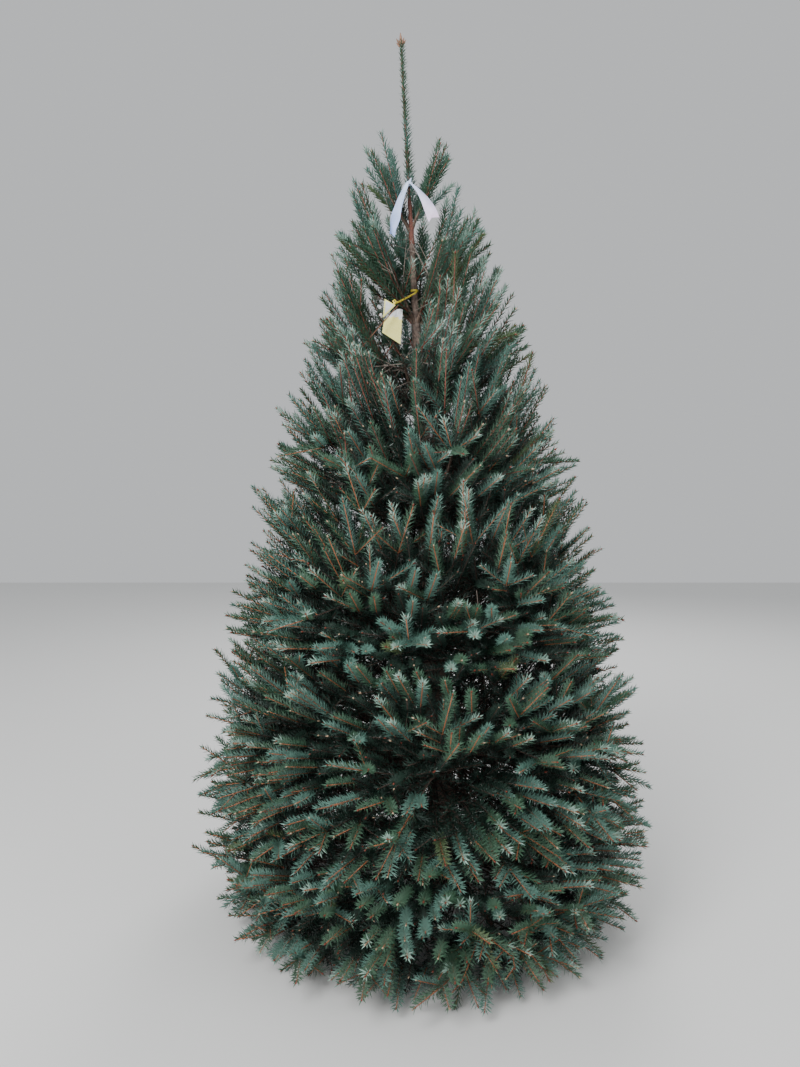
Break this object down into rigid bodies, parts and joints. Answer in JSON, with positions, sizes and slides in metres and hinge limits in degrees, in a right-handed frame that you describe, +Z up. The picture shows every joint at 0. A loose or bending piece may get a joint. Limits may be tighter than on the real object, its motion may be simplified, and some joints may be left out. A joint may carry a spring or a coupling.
{
  "type": "spruce tree",
  "caption": "Sheared farm spruce rooted in the ground: leaning trunk, whorls of boughs, dense cone of needle sprays, long leader with a tied ribbon, blank tag.",
  "frame": {"origin": "middle of the flat cut under the trunk, at ground level", "axes": "+Z up along the tree, -Y towards the front of the tree, +X to the right as seen from the front; the trunk leans towards -X"},
  "size_m": [1.1429, 1.1338, 2.25],
  "materials": {
    "bark": "rough grey-brown bark with fine scales and leaf scars",
    "needles": "dark blue-green needles with a waxy bloom, on orange-brown young twigs",
    "ribbon": "thin white film ribbon, slightly crumpled",
    "tag": "pale yellow coated tag, blank, on a yellow strap"
  },
  "bodies": {
    "root": {"bough_1_1": "bark", "bough_1_2": "bark", "bough_1_3": "bark", "bough_1_4": "bark", "bough_1_5": "bark", "bough_2_1": "bark", "bough_2_2": "bark", "bough_2_3": "bark", "bough_2_4": "bark", "bough_2_5": "bark", "bough_3_1": "bark", "bough_3_2": "bark", "bough_3_3": "bark", "bough_3_4": "bark", "bough_3_5": "bark", "bough_4_1": "bark", "bough_4_2": "bark", "bough_4_3": "bark", "bough_4_4": "bark", "bough_4_5": "bark", "foliage_1_1": "needles", "foliage_1_2": "needles", "foliage_1_3": "needles", "foliage_1_4": "needles", "foliage_1_5": "needles", "foliage_2_1": "needles", "foliage_2_2": "needles", "foliage_2_3": "needles", "foliage_2_4": "needles", "foliage_2_5": "needles", "foliage_3_1": "needles", "foliage_3_2": "needles", "foliage_3_3": "needles", "foliage_3_4": "needles", "foliage_3_5": "needles", "foliage_4_1": "needles", "foliage_4_2": "needles", "foliage_4_3": "needles", "foliage_4_4": "needles", "foliage_4_5": "needles", "foliage_5_1": "needles", "foliage_5_2": "needles", "foliage_5_3": "needles", "foliage_5_4": "needles", "foliage_5_5": "needles", "foliage_6_1": "needles", "foliage_6_2": "needles", "foliage_6_3": "needles", "foliage_6_4": "needles", "foliage_6_5": "needles", "foliage_7_2": "needles", "foliage_7_3": "needles", "foliage_7_4": "needles", "foliage_7_5": "needles", "foliage_leader": "needles", "ribbon": "ribbon", "tag": "tag", "trunk": "bark"}
  },
  "joints": []
}
